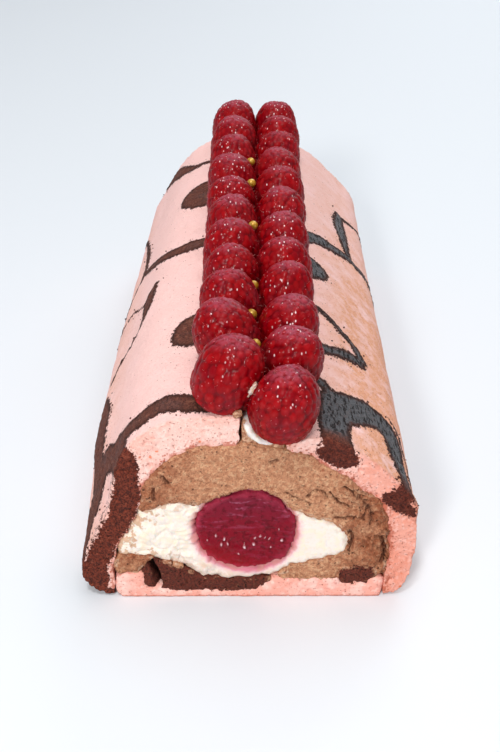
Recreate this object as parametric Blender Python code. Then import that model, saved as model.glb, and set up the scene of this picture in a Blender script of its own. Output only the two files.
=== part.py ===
"""A yule log cake with both ends cut, built from the layers that show at the cut.

A jacket of printed sponge in two halves, open along the top, wraps a chocolate mousse. The mousse
holds a vanilla cream with a raspberry jelly through its middle. A base of the same sponge closes the
log between the feet of the jacket. Two rows of raspberries stand over the seam, with gold pearls
lying in the valley between them.

Run it with: blender --background --python part.py
The log lies along Y, with the cut that is seen first towards -Y, and rests on z = 0.
"""

import math

import bmesh
import bpy
from mathutils import Euler, Matrix, Vector
from mathutils.bvhtree import BVHTree

MM = 0.001

# Driving sizes, in millimetres
LENGTH = 214.0
GAP = 0.35
SPAN_STEPS = 3
STATIONS = (9.0, 20.0, 36.0, 92.0, 152.0)

# Raspberries: length along the row of each, front to back
LEFT_LENGTHS = (21.0, 21.0, 17.0, 17.5, 17.0, 21.0, 18.0, 21.5, 18.5, 21.5, 21.5)
RIGHT_LENGTHS = (20.5, 17.5, 21.5, 16.5, 17.5, 20.0, 21.5, 16.5, 21.0, 16.5, 17.0, 17.5)
LEFT_START, RIGHT_START = 9.2, 1.2
LEFT_ROW_X, RIGHT_ROW_X = -9.8, 7.5
LEFT_LEAN, RIGHT_LEAN = -2.0, 10.0
FIRST_RIGHT_X, FIRST_RIGHT_NOD = 5.4, 26.0
BERRY_WIDTH = 18.8
BERRY_SQUEEZE = 0.5
BERRY_RISE = 12.1
BERRY_CUT = -0.6
BERRY_TAPER = 0.07
BERRY_BLUNTNESS = 2.3
DRUPELETS = 46
DRUPELET_RELIEF = 0.085

PEARL_RADIUS = 1.6
PEARL_PLACES = ((-1.5, 20.8), (-2.4, 41.2), (-1.8, 57.6), (-1.6, 95.2), (-2.0, 133.0), (-2.1, 153.4))

# The cross-section at the first cut, in millimetres as (x, z). Each run is a smooth stretch, and
# runs meet at corners.
OUTER_LEFT = (
    (-42.6, 0.0), (-45.6, 0.9), (-49.0, 3.0), (-51.6, 6.2), (-51.7, 10.4), (-50.0, 15.6), (-46.6, 22.5), (-43.2, 30.5),
    (-41.2, 39.0), (-39.4, 47.0), (-35.8, 53.6), (-30.4, 58.4), (-23.5, 61.3), (-15.5, 62.6), (-6.4, 62.6),
)
OUTER_RIGHT = (
    (7.2, 58.6), (12.5, 57.4), (18.0, 55.5), (23.5, 52.9), (29.5, 48.7), (36.0, 42.6), (41.0, 37.0),
    (43.7, 29.5), (44.2, 21.0), (43.9, 13.0), (42.6, 5.6), (39.6, 1.0), (36.2, 0.0),
)
INNER_LEFT = (
    (-42.2, 1.0), (-42.0, 8.5), (-41.4, 14.5), (-39.8, 19.6), (-36.9, 24.4), (-34.4, 30.2), (-32.8, 36.3),
    (-30.4, 42.0), (-26.5, 46.9), (-21.0, 50.9), (-14.5, 53.2), (-6.0, 53.4),
)
INNER_RIGHT = (
    (7.0, 52.6), (12.6, 49.2), (17.8, 45.9), (23.0, 42.8), (28.2, 38.9), (32.4, 34.0), (35.2, 27.8),
    (35.9, 20.0), (35.7, 12.0), (35.4, 1.0),
)
SEAM_MOUSSE = ((-4.9, 53.7), (-1.5, 54.1), (3.0, 53.6), (6.2, 52.9))
SEAM_CREAM_TOP = ((6.0, 55.4), (3.0, 56.6), (0.0, 58.6), (-2.6, 60.3), (-5.0, 60.8))
CREAM_TOP = (
    (-33.6, 31.4), (-30.0, 32.6), (-26.2, 34.1), (-20.8, 34.4), (-16.4, 34.2), (-10.4, 37.7), (-4.0, 39.2),
    (2.6, 37.7), (7.2, 34.0), (10.6, 31.4), (15.6, 29.6), (20.6, 26.9), (24.3, 23.6),
)
CREAM_UNDERSIDE = (
    (24.3, 23.6), (24.8, 20.0), (23.6, 16.2), (19.0, 14.4), (13.6, 13.2), (8.4, 10.6), (3.2, 7.9),
    (-4.6, 6.8), (-11.6, 7.0), (-17.4, 8.1), (-22.4, 11.1), (-26.6, 13.8), (-33.0, 14.9), (-40.4, 15.1),
)
COCOA_TOP = (
    (3.0, 6.6), (-4.6, 6.3), (-11.6, 6.5), (-17.8, 7.5), (-22.4, 9.6), (-26.6, 12.2), (-30.4, 13.4), (-32.6, 12.6),
)
COCOA_UNDERSIDE = (
    (-34.4, 8.2), (-32.6, 4.8), (-29.0, 2.9), (-22.6, 2.2), (-15.4, 2.6), (-8.0, 2.2), (-1.6, 2.6), (3.0, 6.2),
)
COCOA_BIT_TOP = ((23.1, 6.4), (23.4, 8.6), (25.8, 10.3), (29.2, 10.8), (32.6, 10.3), (33.8, 8.4))
COCOA_BIT_UNDERSIDE = ((33.7, 7.0), (29.0, 5.2), (24.6, 3.9))
BASE_TOP_Z = 6.6
BASE_LEFT_TOP = ((-41.2, 6.9), (-39.6, 8.4), (-37.2, 8.8), (-35.3, 8.3))
BASE_FOOT_X = (-40.6, 34.6)
JELLY_CENTRE = (-4.3, 24.7)
JELLY_HALF_WIDTH, JELLY_HALF_HEIGHT = 14.2, 13.2

# How far each layer stands in front of the cut, at both ends
PROUD = {"jelly": 0.7, "cream": -0.5, "mousse": 0.2, "seam": 1.6, "cocoa": 0.3}


def eased(t):
    t = min(max(t, 0.0), 1.0)
    return t * t * (3 - 2 * t)


def settled(point):
    """Where a point of the section lies in the log.

    The cut end slumps to the left, its first right-hand raspberry presses the edge of the seam down,
    and the log narrows towards the far end.
    """
    x, y, z = point
    left = eased((-x - 4.0) / 30.0)
    behind_cut = eased(y / 36.0)
    wall = 0.8 - 6.8 * math.exp(-(((z - 29.0) / 14.0) ** 2))
    taper = 6.2 * max((y - 72.0) / (LENGTH - 72.0), 0.0) ** 1.1
    shoulder = 3.6 * math.exp(-(((x - 17.0) / 14.0) ** 2)) * z / 60.0
    pressed = 3.2 * math.exp(-(((x - 7.5) / 6.0) ** 2)) * (1 - eased(y / 18.0))
    x += left * (behind_cut * wall + taper)
    x *= 1 + 0.006 * math.sin(y / 15.0)
    z += eased(y / 110.0) * shoulder - pressed * eased((z - 49.0) / 9.0)
    z *= 1 + 0.005 * math.sin(y / 11.0 + 1.0)
    return Vector((x, y, z))


def smooth(points, steps=SPAN_STEPS):
    """A Catmull-Rom curve through the points, with the given number of steps a span."""
    ends = [2 * Vector(points[0]) - Vector(points[1])]
    ends += [Vector(p) for p in points]
    ends.append(2 * Vector(points[-1]) - Vector(points[-2]))
    made = []
    for a, b, c, d in zip(ends, ends[1:], ends[2:], ends[3:]):
        for i in range(steps):
            t = i / steps
            made.append(
                0.5 * (2 * b + (c - a) * t + (2 * a - 5 * b + 4 * c - d) * t * t + (3 * b - a - 3 * c + d) * t**3)
            )
    made.append(ends[-2])
    return made


def offset(run, distance):
    """The run moved to its left by the distance."""
    moved = []
    for i, p in enumerate(run):
        along = (run[min(i + 1, len(run) - 1)] - run[max(i - 1, 0)]).normalized()
        moved.append(p + Vector((-along.y, along.x)) * distance)
    return moved


def between(run, low, high):
    """The stretch of the run whose height lies between the two."""
    return [p for p in run if low <= p.y <= high]


def material(name, colour, roughness, metallic=0.0):
    made = bpy.data.materials.new(name)
    made.use_nodes = True
    shader = made.node_tree.nodes["Principled BSDF"]
    shader.inputs["Base Color"].default_value = (*colour, 1.0)
    shader.inputs["Roughness"].default_value = roughness
    shader.inputs["Metallic"].default_value = metallic
    made.diffuse_color = (*colour, 1.0)
    return made


def layer(name, outlines, finish, proud=0.0):
    """A layer that runs through the log: outlines in the cross-section, swept from cut to cut."""
    curve = bpy.data.curves.new(name + "_outline", "CURVE")
    curve.dimensions = "2D"
    curve.fill_mode = "BOTH"
    curve.extrude = (LENGTH / 2 + proud) * MM
    for outline in outlines:
        spline = curve.splines.new("POLY")
        spline.points.add(len(outline) - 1)
        for point, place in zip(spline.points, outline):
            point.co = (place.x * MM, place.y * MM, 0.0, 1.0)
        spline.use_cyclic_u = True
    flat = bpy.data.objects.new(name + "_outline", curve)
    bpy.context.scene.collection.objects.link(flat)
    flat.rotation_euler = (math.pi / 2, 0.0, 0.0)
    flat.location = (0.0, LENGTH / 2 * MM, 0.0)
    bpy.context.view_layer.update()
    mesh = bpy.data.meshes.new_from_object(flat.evaluated_get(bpy.context.evaluated_depsgraph_get()))
    mesh.name = name
    mesh.transform(flat.matrix_world)
    bpy.data.objects.remove(flat)
    settle_mesh(mesh)
    made = bpy.data.objects.new(name, mesh)
    return dress(made, finish, 35.0)


def settle_mesh(mesh):
    """Cuts the sweep at the stations and moves its points to where the log has slumped."""
    bm = bmesh.new()
    bm.from_mesh(mesh)
    bmesh.ops.remove_doubles(bm, verts=bm.verts, dist=0.00001)
    for station in STATIONS:
        bmesh.ops.bisect_plane(
            bm, geom=bm.verts[:] + bm.edges[:] + bm.faces[:], plane_co=(0.0, station * MM, 0.0), plane_no=(0.0, 1.0, 0.0)
        )
    for vert in bm.verts:
        vert.co = settled(vert.co / MM) * MM
    bmesh.ops.triangulate(bm, faces=bm.faces)
    bmesh.ops.recalc_face_normals(bm, faces=bm.faces)
    bm.to_mesh(mesh)
    bm.free()


def dress(made, finish, crease):
    """Gives the object its material and smooth shading, and puts it in the cake's collection."""
    made.data.materials.clear()
    made.data.materials.append(finish)
    made.data.shade_smooth()
    made.data.set_sharp_from_angle(angle=math.radians(crease))
    bpy.data.collections["yule_log"].objects.link(made)
    return made


def drupelet_directions(count):
    """Directions spread evenly over a sphere along a spiral, as drupelets sit on a berry."""
    turn = math.pi * (3 - math.sqrt(5))
    for i in range(count):
        z = 1 - (2 * i + 1) / count
        r = math.sqrt(1 - z * z)
        yield Vector((r * math.cos(i * turn), r * math.sin(i * turn), z))


def berry_mesh(name, width, length):
    """A blunt raspberry with its tip up and its open end cut flat: one raised cell for each drupelet."""
    bm = bmesh.new()
    for direction in drupelet_directions(DRUPELETS):
        bm.verts.new(direction)
    hull = bmesh.ops.convex_hull(bm, input=bm.verts)
    bmesh.ops.delete(bm, geom=[v for v in hull["geom_unused"] if isinstance(v, bmesh.types.BMVert)], context="VERTS")
    crests = set(bm.verts)
    ridges = bm.edges[:]
    bmesh.ops.poke(bm, faces=bm.faces)
    bmesh.ops.rotate_edges(bm, edges=ridges)
    for vert in bm.verts:
        raised = 1.0 if vert in crests else 1.0 - DRUPELET_RELIEF
        place = vert.co.normalized()
        across, up = math.hypot(place.x, place.y), abs(place.z)
        place *= raised / (across**BERRY_BLUNTNESS + up**BERRY_BLUNTNESS) ** (1 / BERRY_BLUNTNESS)
        place.z = max(place.z, BERRY_CUT)
        taper = 1 - BERRY_TAPER * place.z
        vert.co = Vector((place.x * width / 2 * taper, place.y * length / 2 * taper, place.z * BERRY_RISE)) * MM
    bmesh.ops.recalc_face_normals(bm, faces=bm.faces)
    mesh = bpy.data.meshes.new(name)
    bm.to_mesh(mesh)
    bm.free()
    return mesh


def world_tree(made):
    """A search tree of the object's faces in world space."""
    bm = bmesh.new()
    bm.from_mesh(made.data)
    bm.transform(made.matrix_world)
    tree = BVHTree.FromBMesh(bm)
    bm.free()
    return tree


def rest_on(made, carriers, low, high):
    """Lowers the object between two heights until it just clears what carries it."""
    for _ in range(14):
        middle = (low + high) / 2
        made.location.z = middle * MM
        bpy.context.view_layer.update()
        tree = world_tree(made)
        if any(tree.overlap(carrier) for carrier in carriers):
            low = middle
        else:
            high = middle
    made.location.z = (high + GAP) * MM
    bpy.context.view_layer.update()


def berry_row(side, lengths, start, row_x, lean, finish, carriers, placed):
    """One row of raspberries, each touching the next, leaning with the slope and clear of the other row."""
    away = 1 if row_x > 0 else -1
    y = start
    for i, length in enumerate(lengths):
        if i:
            y += (lengths[i - 1] + length) / 2
        name = f"raspberry_{side}_{i + 1:02d}"
        wobble = math.sin(2.4 * i + lean)
        width = BERRY_WIDTH * (1 + 0.025 * wobble)
        berry = bpy.data.objects.new(name, berry_mesh(name, width, length - BERRY_SQUEEZE))
        overhangs = side == "right" and i == 0
        nod = FIRST_RIGHT_NOD if overhangs else 2.5 * wobble
        x = FIRST_RIGHT_X if overhangs else row_x
        berry.rotation_euler = Euler((math.radians(nod), math.radians(lean), 0.0))
        berry.location = (x * MM, y * MM, 0.0)
        dress(berry, finish, 180.0)
        rest_on(berry, carriers, 50.0, 90.0)
        while any(world_tree(berry).overlap(other) for other in placed):
            berry.location.x += away * 0.25 * MM
            rest_on(berry, carriers, 50.0, 90.0)
        placed.append(world_tree(berry))


def pearls(finish, carriers):
    """Sugar pearls that lie in the valley between the rows."""
    for i, (x, y) in enumerate(PEARL_PLACES):
        name = f"gold_pearl_{i + 1}"
        bm = bmesh.new()
        bmesh.ops.create_icosphere(bm, subdivisions=2, radius=PEARL_RADIUS * MM)
        mesh = bpy.data.meshes.new(name)
        bm.to_mesh(mesh)
        bm.free()
        pearl = bpy.data.objects.new(name, mesh)
        pearl.location = (x * MM, y * MM, 0.0)
        dress(pearl, finish, 180.0)
        rest_on(pearl, carriers, 62.0, 95.0)


def ellipse(centre, half_width, half_height, count=26):
    return [
        Vector((centre[0] + half_width * math.cos(a), centre[1] + half_height * math.sin(a)))
        for a in (2 * math.pi * i / count for i in range(count))
    ]


def sponge_layers(pink, cocoa):
    """The two halves of the jacket, the base between their feet and the cocoa sponge laid on it."""
    inner_left, inner_right = smooth(INNER_LEFT), smooth(INNER_RIGHT)
    left = smooth(OUTER_LEFT) + [Vector((-5.5, 61.4))] + offset(inner_left, GAP)[::-1]
    right = smooth(OUTER_RIGHT) + offset(inner_right, GAP)[::-1] + [Vector((6.6, 58.8))]
    halves = [layer("sponge_jacket_left", [left], pink), layer("sponge_jacket_right", [right], pink)]

    cocoa_under = smooth(COCOA_UNDERSIDE)
    base = [Vector((x, 0.0)) for x in (BASE_FOOT_X[0], -20.0, 5.0, BASE_FOOT_X[1])]
    base += [Vector((34.9, 3.0)), Vector((34.9, BASE_TOP_Z))]
    base += [p - Vector((0.0, 0.4)) for p in map(Vector, COCOA_BIT_UNDERSIDE)]
    base += [Vector((22.6, 5.2)), Vector((22.0, BASE_TOP_Z)), Vector((13.0, BASE_TOP_Z - 0.2)), Vector((4.4, BASE_TOP_Z))]
    base += offset(cocoa_under, -GAP)[::-1]
    base += smooth(BASE_LEFT_TOP)[::-1]
    base.append(Vector((-41.5, 3.0)))
    layer("sponge_base", [base], pink, 0.2)
    layer("cocoa_sponge_strip", [smooth(COCOA_TOP) + cocoa_under], cocoa, PROUD["cocoa"])
    bit = smooth(COCOA_BIT_TOP) + [Vector(p) for p in COCOA_BIT_UNDERSIDE]
    layer("cocoa_sponge_bit", [bit], cocoa, PROUD["cocoa"])
    return halves


def fillings(mousse, cream, jelly):
    """The mousse in its two parts, the cream inside it, the jelly in the cream and the cream in the seam."""
    inner_left, inner_right = smooth(INNER_LEFT), smooth(INNER_RIGHT)
    cream_top, cream_under = smooth(CREAM_TOP), smooth(CREAM_UNDERSIDE)
    cocoa_top = offset(smooth(COCOA_TOP), -GAP)
    cocoa_bit = offset(smooth(COCOA_BIT_TOP), GAP)

    cream_outline = between(inner_left, 15.4, 31.0) + cream_top + cream_under[1:]
    hole = ellipse(JELLY_CENTRE, JELLY_HALF_WIDTH + GAP, JELLY_HALF_HEIGHT + GAP)
    layer("vanilla_cream", [cream_outline, hole], cream, PROUD["cream"])
    layer("raspberry_jelly", [ellipse(JELLY_CENTRE, JELLY_HALF_WIDTH, JELLY_HALF_HEIGHT)], jelly, PROUD["jelly"])

    right_under = [p for p in cream_under if p.x > 4.5]
    arch = between(inner_left, 32.6, 99.0)
    arch += smooth(SEAM_MOUSSE)
    arch += between(inner_right, BASE_TOP_Z + 0.8, 99.0)
    arch += cocoa_bit[::-1]
    arch += [Vector((x, BASE_TOP_Z + GAP)) for x in (22.0, 12.0, 6.0)]
    arch += offset(right_under, GAP)[::-1]
    arch += offset(cream_top, GAP)[::-1][1:]
    main = layer("chocolate_mousse", [arch], mousse, PROUD["mousse"])

    left_under = [p for p in cream_under if -40.6 < p.x < -21.6]
    foot = offset(left_under, GAP)
    foot += between(inner_left, 9.6, 14.4)[::-1]
    foot += [Vector((-41.0, 8.9)), Vector((-38.4, 9.3)), Vector((-36.0, 9.3))]
    foot += [p for p in cocoa_top if p.x < -21.4][::-1]
    layer("chocolate_mousse_foot", [foot], mousse, PROUD["mousse"])

    seam = offset(smooth(SEAM_MOUSSE), GAP) + smooth(SEAM_CREAM_TOP)
    return [main, layer("seam_cream", [seam], cream, PROUD["seam"])]


def stand_on_origin():
    """Moves the cake so that the middle of its base is the origin."""
    cake = bpy.data.collections["yule_log"]
    bpy.context.view_layer.update()
    corners = [o.matrix_world @ v.co for o in cake.objects for v in o.data.vertices]
    low = [min(c[i] for c in corners) for i in range(3)]
    high = [max(c[i] for c in corners) for i in range(3)]
    shift = Vector((-(low[0] + high[0]) / 2, -(low[1] + high[1]) / 2, -low[2]))
    holder = bpy.data.objects.new("log_holder", None)
    bpy.context.scene.collection.objects.link(holder)
    for made in cake.objects:
        made.parent = holder
    holder.matrix_world = Matrix.Translation(shift)
    bpy.context.view_layer.update()


def main():
    for old in list(bpy.data.objects):
        bpy.data.objects.remove(old)
    cake = bpy.data.collections.new("yule_log")
    bpy.context.scene.collection.children.link(cake)

    pink = material("pink sponge", (0.87, 0.50, 0.42), 0.85)
    cocoa = material("cocoa sponge", (0.10, 0.028, 0.018), 0.85)
    mousse = material("chocolate mousse", (0.42, 0.22, 0.12), 0.75)
    cream = material("vanilla cream", (0.88, 0.82, 0.70), 0.5)
    jelly = material("raspberry jelly", (0.24, 0.015, 0.025), 0.15)
    berry = material("raspberry", (0.38, 0.012, 0.018), 0.4)
    gold = material("gold sugar", (0.75, 0.48, 0.08), 0.3)

    halves = sponge_layers(pink, cocoa)
    beds = fillings(mousse, cream, jelly)
    carriers = [world_tree(made) for made in halves + beds]
    placed = []
    berry_row("left", LEFT_LENGTHS, LEFT_START, LEFT_ROW_X, LEFT_LEAN, berry, carriers, placed)
    berry_row("right", RIGHT_LENGTHS, RIGHT_START, RIGHT_ROW_X, RIGHT_LEAN, berry, carriers, placed)
    pearls(gold, carriers + placed)
    stand_on_origin()


main()
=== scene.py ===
"""Dresses a packed yule log: printed sponge, mousse, cream, jelly, raspberries and gold pearls.

Run it as a script in Blender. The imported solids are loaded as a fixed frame, and each operator
models the finished pieces that stand for some of them.
"""

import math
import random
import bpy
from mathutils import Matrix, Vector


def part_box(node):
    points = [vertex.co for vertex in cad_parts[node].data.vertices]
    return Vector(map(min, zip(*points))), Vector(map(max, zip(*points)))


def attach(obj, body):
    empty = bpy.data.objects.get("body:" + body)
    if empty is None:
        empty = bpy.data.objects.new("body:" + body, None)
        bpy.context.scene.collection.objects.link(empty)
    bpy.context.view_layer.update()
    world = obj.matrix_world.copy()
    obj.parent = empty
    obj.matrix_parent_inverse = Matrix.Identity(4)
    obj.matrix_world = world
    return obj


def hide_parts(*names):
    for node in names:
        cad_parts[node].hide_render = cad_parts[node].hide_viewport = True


bl_info = {
    "name": "Yule Log Finish",
    "version": (1, 0, 0),
    "blender": (4, 5, 0),
    "location": "View3D > Sidebar > Yule Log",
    "description": "Models the sponge, fillings and fruit of a yule log over its packed solids",
    "category": "Object",
}

import bpy
import numpy as np
from bpy.props import FloatProperty, FloatVectorProperty, IntProperty, PointerProperty
from mathutils import Euler, Matrix, Vector, noise
from mathutils.bvhtree import BVHTree

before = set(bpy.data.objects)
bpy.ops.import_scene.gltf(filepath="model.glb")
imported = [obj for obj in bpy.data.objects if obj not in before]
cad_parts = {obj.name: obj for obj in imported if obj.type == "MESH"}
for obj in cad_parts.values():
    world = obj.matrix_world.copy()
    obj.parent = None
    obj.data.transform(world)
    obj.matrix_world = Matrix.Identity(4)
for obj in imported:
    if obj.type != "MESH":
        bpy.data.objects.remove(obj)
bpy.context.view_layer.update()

MM = 0.001

# The noise vectors start from random offsets unless they are given a seed.
NOISE_SEED = 4
# The first seed of the raspberries' shapes, and the seed of how they lie in their rows
BERRY_SEED, ROW_SEED = 31, 5
# The weights of a vertex group are rounded to this many steps.
WEIGHT_STEPS = 20

# The log's own section: x from the middle of its seam, z from the floor, and y from the first cut.
# The jelly's right side shows where the section's x starts.
JELLY_RIGHT_SIDE = 9.9 * MM
SECTION_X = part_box("raspberry_jelly")[1][0] - JELLY_RIGHT_SIDE
FRONT_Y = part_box("sponge_jacket_left")[0][1]
BACK_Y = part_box("sponge_jacket_left")[1][1]
LENGTH = BACK_Y - FRONT_Y
SECTION_ORIGIN = (SECTION_X, FRONT_Y, 0.0)

# A face that looks less along the log than this belongs to a long wall.
WALL_LIMIT = 0.7
# A distance from a rim or a crack that no longer counts, in mm
FAR_OFF = 9.0

# Angles round the log are counted from an axis at this x and z, from straight up, right positive.
# Lengths round it are taken at this radius, in mm.
ROUND_X, ROUND_Z, ROUND_RADIUS = -4.0 * MM, 25.0 * MM, 42.0

# The printed scrolls: runs of (degrees round the log, mm from the first cut, half-width in mm)
SCROLLS = (
    ((-12, 7, 4), (-21, 7, 4), (-28, 9, 4.3), (-34, 10, 4), (-41, 8.5, 3.8), (-48, 8.5, 3.6), (-55, 9, 4.4),
     (-62, 9, 6)),
    ((-56, -3, 5), (-58, 5, 5.6), (-62, 10, 6.2)),
    ((-60, 8, 6), (-68, 13, 4.6), (-76, 18, 5.4), (-84, 17, 5.2), (-92, 15, 5.4), (-100, 12.5, 6),
     (-107, 8, 7), (-114, 4, 8)),
    ((-85, 61, 0.8), (-84, 52, 4.2), (-83, 41, 6.2), (-84, 30, 5.6), (-87, 20, 5)),
    ((-82, 66, 0.9), (-70, 71, 1), (-60, 73, 1.1), (-54, 78, 1.6), (-52, 85, 3.4), (-51, 91, 3.8),
     (-47, 96, 1.4)),
    ((-56, 89, 0.6), (-64, 96, 0.6), (-72, 103, 0.7), (-84, 106, 0.7), (-97, 101, 1.2)),
    ((-92, 108, 1), (-84, 116, 1), (-78, 125, 1.2), (-71, 132, 2), (-69, 142, 1.8), (-73, 156, 1.5),
     (-81, 175, 1.2), (-92, 188, 2.2), (-101, 184, 3.4)),
    ((-70, 133, 1.8), (-61, 125, 2.2), (-51, 118, 2.4), (-39, 111.5, 3.1), (-31, 110, 3.7), (-20, 110, 3.7),
     (-12, 111, 3)),
    ((-74, 221, 2.4), (-62, 214, 4), (-51, 206, 4.4), (-41, 196, 3.6), (-32, 190, 2.2), (-23, 188, 1.5),
     (-13, 187, 1.2)),
    ((-31, 156.5, 3.6), (-26.5, 155, 8.2), (-20, 155, 12.5), (-12, 155, 9)),
    ((-26.4, 44.5, 4.2), (-23.6, 47, 7.2), (-19, 49.5, 9.8), (-12, 49.5, 9)),
    ((-96, 62, 1.6), (-103, 74, 3.2), (-100, 86, 2.2), (-108, 128, 2.6), (-100, 142, 4), (-108, 158, 2)),
    ((28, 30, 2.2), (34, 28, 2.6), (38, 25, 2.4), (43, 19, 7.4), (51, 22, 6.6), (59, 25, 6), (66, 25, 5.6),
     (70, 20, 4.4), (71, 13, 3.4), (73, 7, 3), (75, -2, 3)),
    ((41, 16, 6.4), (39, 9, 5.6), (39.5, 2, 5.2), (42, -3, 5)),
    ((70, 33, 0.5), (76, 27, 0.8), (79, 18, 0.8), (81, 6, 0.6)),
    ((24, 120, 4), (32, 121.5, 4.3), (39, 124.5, 4.2), (50, 127, 3.2), (60, 131, 2.7), (69, 131, 2.2),
     (77, 129, 2), (86, 123, 2), (94, 112, 1.6), (98, 98, 3)),
    ((60, 169, 2.4), (59, 158, 4), (60, 147, 3.2), (62, 135, 2)),
    ((60, 168, 1.6), (70, 172, 1.3), (81, 174, 1.2), (92, 170, 1.8), (100, 160, 3.4)),
    ((24, 98, 8), (32, 98, 8), (37, 97, 4.6)),
    ((28, 73, 1.6), (37, 70, 1.7), (43, 67, 1.8), (49, 64, 1.9), (55, 61, 2.2), (59, 56, 2.8)),
    ((28, 47, 3.2), (38, 48, 3), (44, 49.5, 2.8), (50, 52, 2.8), (57, 53, 3)),
    ((97, 70, 2), (103, 60, 4), (98, 46, 2.6), (88, 40, 1.2)),
)
# Where the printed batter fills the thickness of the sponge: runs of (x, z, half-width) in mm
CUT_SCROLLS = (
    ((-36.2, 49.6, 2.2), (-37.6, 45.2, 3.4), (-37.6, 39.4, 4.6), (-38.2, 34.4, 4.8), (-39.4, 30.4, 4.6),
     (-42.4, 24.4, 4.4), (-44.8, 20.2, 3.9), (-47.4, 14, 4), (-48.4, 8, 4.4), (-47.6, 2.6, 3)),
    ((16.8, 51.6, 2.5), (21, 50.2, 3.4), (25, 48.6, 2.2)),
    ((34.4, 35.6, 1.7), (38.4, 34.9, 3.6), (42.2, 33.2, 3.6)),
)
CUT_SCROLLS_BACK = (
    ((-33, 45, 2.6), (-36, 41, 3.2)),
    ((38, 22, 3.4), (41, 16, 3)),
)
# How deep the print goes into the skin, and how far from a cut the batter fills it, in mm
SCROLL_DEPTH = 2.4
CUT_SCROLL_REACH = 4.0
# The lump of batter that stands out at the right of the first cut: x, z and spread
BATTER_LUMP = (43, 33, 14)

# Cracks that show at the first cut: runs of (x, z) in mm, with half-width and depth
MOUSSE_CRACKS = (
    (((33.2, 22.6), (34.8, 21.4), (35.3, 17), (34.6, 12.6)), 0.45, 2),
    (((25, 24), (25.8, 20), (25.2, 16)), 0.45, 1.6),
    (((27.4, 36.6), (29.6, 32), (28.8, 28.4)), 0.3, 1.2),
    (((12.6, 36.4), (14, 38.6), (16.8, 38.2), (17.8, 35.6)), 0.3, 1.2),
    (((6.8, 37.4), (10.4, 35.6), (13.6, 34)), 0.25, 0.8),
    (((19, 37.6), (21.4, 34.6), (25, 32.8)), 0.3, 1.2),
    (((22.8, 40.2), (25.4, 38.8), (27.2, 35.6)), 0.3, 1.2),
    (((21.2, 28.6), (25.4, 29.6), (29.4, 28.2)), 0.3, 1),
    (((29.6, 33.6), (31.2, 30.2), (30.6, 26.4)), 0.35, 1.2),
    (((-27.4, 43.4), (-26, 41.2)), 0.5, 1.2),
    (((-29.6, 38.6), (-30.2, 36.2)), 0.45, 1.4),
    (((2.6, 48.6), (4.2, 49.4)), 0.4, 0.8),
)
COCOA_CRACKS = (
    (((-32.4, 14.6), (-30.6, 9.6), (-29.4, 4.4)), 0.75, 6),
)
# Wet beads that stand on the jelly's cut, each with a highlight painted on it: (x, z, radius) in mm
JELLY_BEADS = (
    (-15.2, 21.9, 0.7), (-12.7, 23.5, 0.8), (-10.4, 22.1, 1), (-10.8, 20.2, 0.9), (-9.2, 20.7, 0.8),
    (-4.5, 19.2, 1.2), (-1.6, 20.4, 1), (-1.5, 22.4, 0.8), (-0.2, 23.5, 0.8), (1, 22.8, 0.7),
    (2.6, 22.4, 0.7), (3.3, 19.1, 0.8), (6.2, 21.7, 1), (5, 25.6, 0.6), (-7, 16.4, 0.7),
)
# Where white cream was smeared under the first raspberry: (x, z, half-width) in mm
CREAM_SMEAR = (
    (-4.4, 64, 0.5), (-4, 62, 0.6), (-3.2, 59.4, 0.6), (-1.5, 57.2, 0.55), (0.6, 56, 0.4), (4, 55.4, 0.2),
)

# How the first raspberries lie: their turn in radians, a shift in mm, and how much they are spread
FIRST_BERRIES = {
    "raspberry_left_01": ((0.15, 0.38, 0), (0.7, -0.5, -0.9), (1.12, 1.04, 1.1)),
    "raspberry_left_02": ((0.3, -0.2, 0), (0.3, 0, 0), (1.06, 1.03, 1)),
    "raspberry_right_01": ((0.45, 0.17, 0), (-0.8, 0, 0.6), (1.06, 1.03, 1)),
    "raspberry_right_02": ((0.2, 0.3, 0), (0.4, 0, 1.1), (1.06, 1.03, 1)),
}
# The side of a raspberry where the wet drupelets shine, and where glints are painted on them
LIT_SIDE = np.array([-0.12, -0.55, 0.83])
# How far a raspberry is pressed into the skin, in mm
BERRY_SINK = 0.25
# Half of a usual raspberry's width
BERRY_RADIUS = 9.6 * MM
# Below this share of its radius a raspberry turns in to its flat underside, this much lower.
UNDERSIDE, UNDERSIDE_DEPTH = -0.35, 0.25


def srgb(red, green, blue):
    """A colour given as 0 to 255 per channel, as the linear values that Blender works with."""
    shares = [value / 255 for value in (red, green, blue)]
    return tuple(c / 12.92 if c <= 0.04045 else ((c + 0.055) / 1.055) ** 2.4 for c in shares)


def colour_property(name, description, *channels):
    return FloatVectorProperty(
        name=name, description=description, default=srgb(*channels), subtype="COLOR", min=0.0, max=1.0
    )


def length_property(name, description, millimetres):
    value = millimetres * MM
    return FloatProperty(name=name, description=description, default=value, unit="LENGTH", precision=5)


def number_property(name, description, default, low=0.0, high=100.0):
    return FloatProperty(name=name, description=description, default=default, min=low, max=high)


def count_property(name, description, default, low, high):
    return IntProperty(name=name, description=description, default=default, min=low, max=high)


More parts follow.
